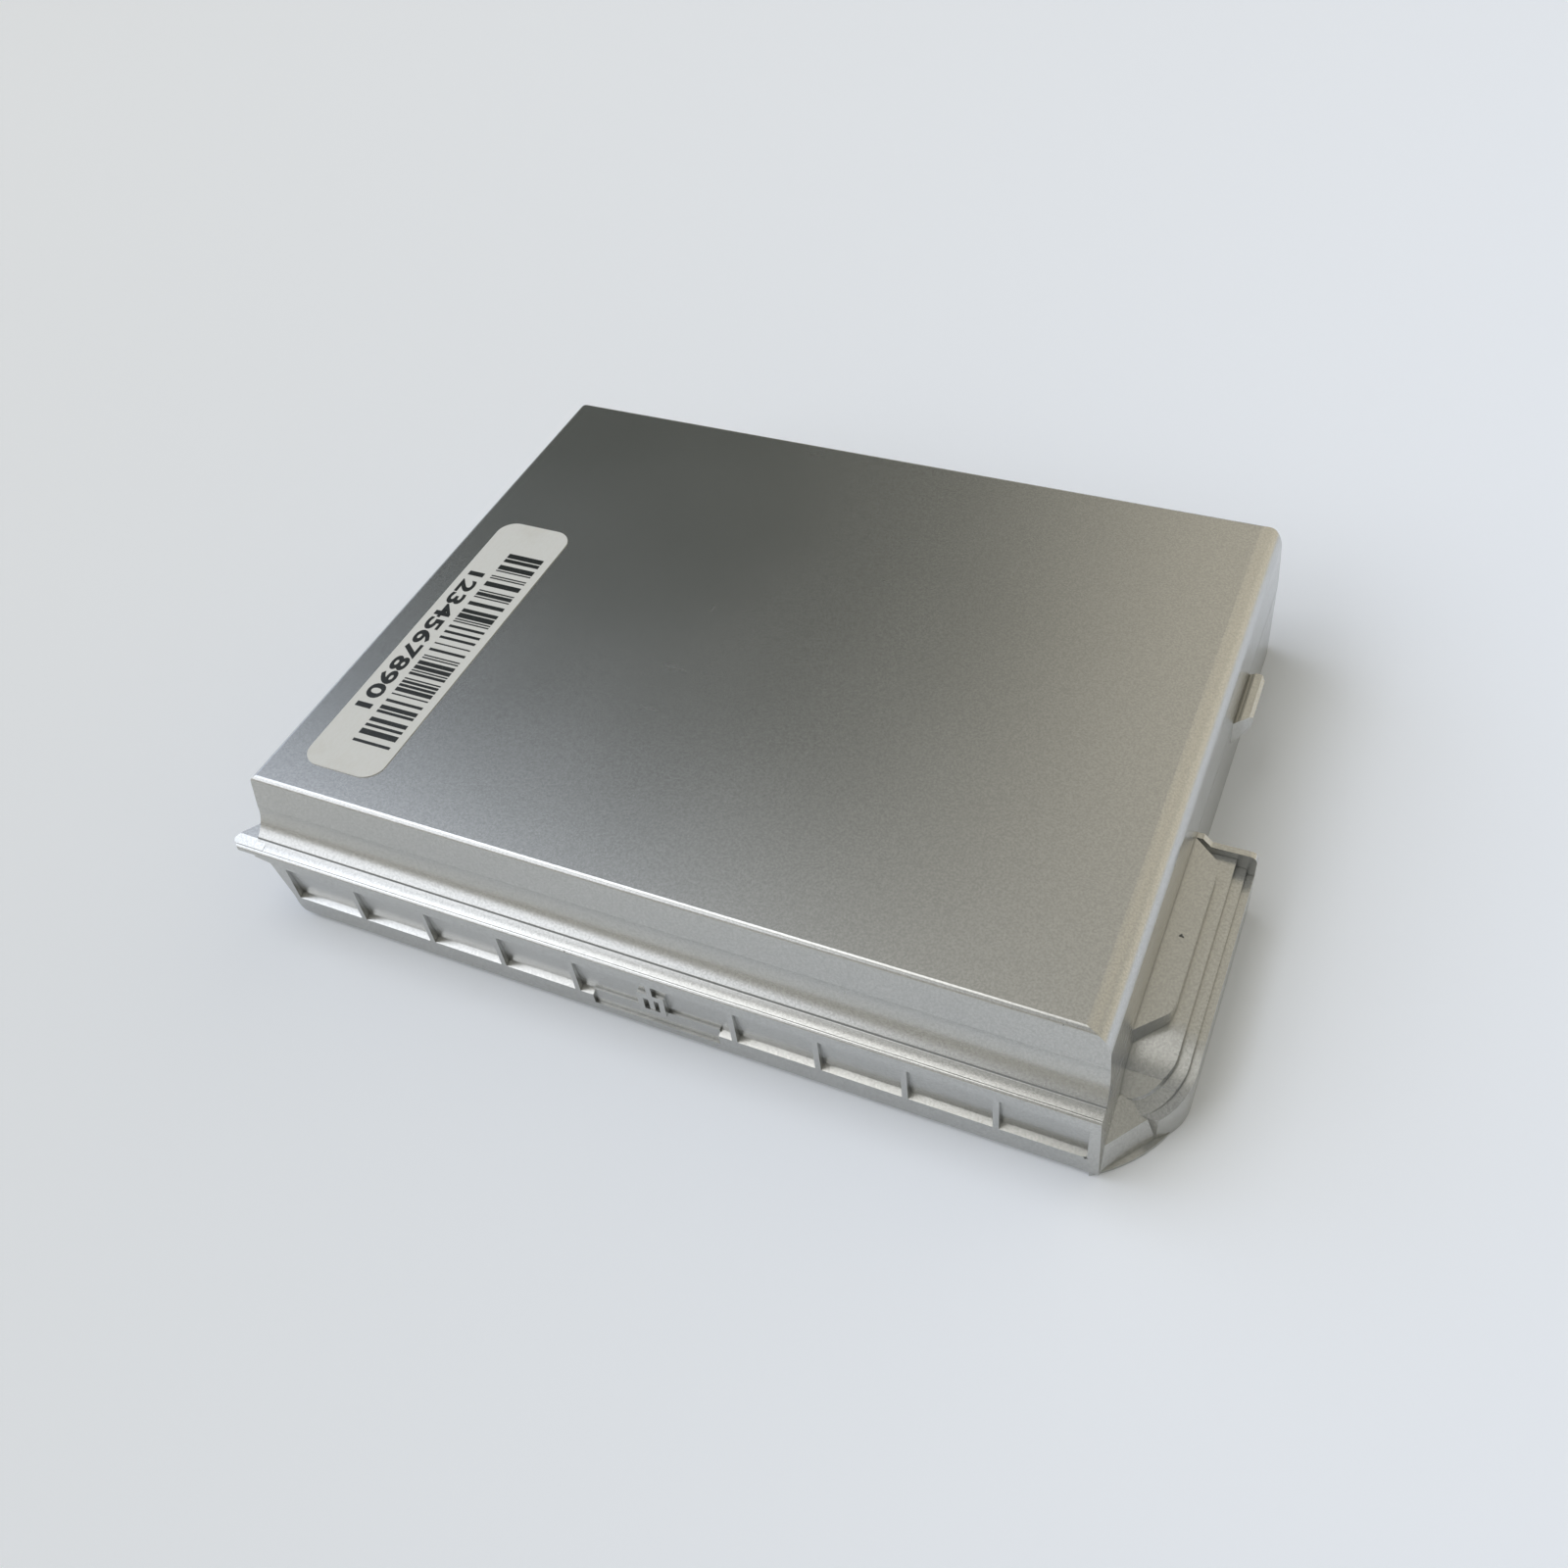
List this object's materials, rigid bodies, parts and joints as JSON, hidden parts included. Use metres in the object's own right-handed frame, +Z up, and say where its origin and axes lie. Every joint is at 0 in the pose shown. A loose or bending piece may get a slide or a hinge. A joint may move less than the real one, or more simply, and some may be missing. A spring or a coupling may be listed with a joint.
{
  "type": "tablet battery",
  "caption": "Flat silver tablet battery pack with a flanged, ribbed front, a stepped foot and a catch on one side, a paper label and a row of round cells inside.",
  "frame": {"origin": "on the table under the middle of the whole pack, foot, catch and flange wing included", "axes": "+X to the right along the ribbed front, +Y away from it to the contact side, +Z up through the labelled cover"},
  "size_m": [0.137, 0.1036, 0.0239],
  "materials": {
    "silver_paint": "satin silver paint on moulded plastic",
    "label_paper": "coated paper, slightly glossy",
    "cell_sleeve": "shrunk sleeve, glossy",
    "nickel": "rolled nickel, satin",
    "insulating_paper": "pressed insulating paper, matte",
    "foam": "closed cell foam, matte",
    "board_laminate": "solder mask over glass laminate, satin",
    "black_moulding": "moulded resin, matte",
    "resistor_body": "ceramic chip, matte",
    "fuse_body": "ceramic chip, satin",
    "capacitor_body": "ceramic chip, satin",
    "contact_metal": "plated spring brass, polished",
    "red_insulation": "wire insulation, glossy",
    "yellow_insulation": "wire insulation, glossy"
  },
  "bodies": {
    "root": {"top_cover": "silver_paint", "bottom_case": "silver_paint", "paper_label": "label_paper", "cell_1": "cell_sleeve", "cell_2": "cell_sleeve", "cell_3": "cell_sleeve", "cell_4": "cell_sleeve", "cell_5": "cell_sleeve", "cell_6": "cell_sleeve", "front_wide_nickel_strip": "nickel", "front_narrow_nickel_strip": "nickel", "rear_narrow_nickel_strip": "nickel", "rear_wide_nickel_strip": "nickel", "front_insulating_sheet": "insulating_paper", "rear_insulating_sheet": "insulating_paper", "foam_strips": "foam", "protection_board": "board_laminate", "controller_chip": "black_moulding", "switching_transistors": "black_moulding", "sense_resistor": "resistor_body", "board_fuse": "fuse_body", "board_capacitors": "capacitor_body", "contact_block": "black_moulding", "contact_clips": "contact_metal", "thermistor": "black_moulding", "positive_lead": "red_insulation", "middle_lead": "yellow_insulation"}
  },
  "joints": []
}
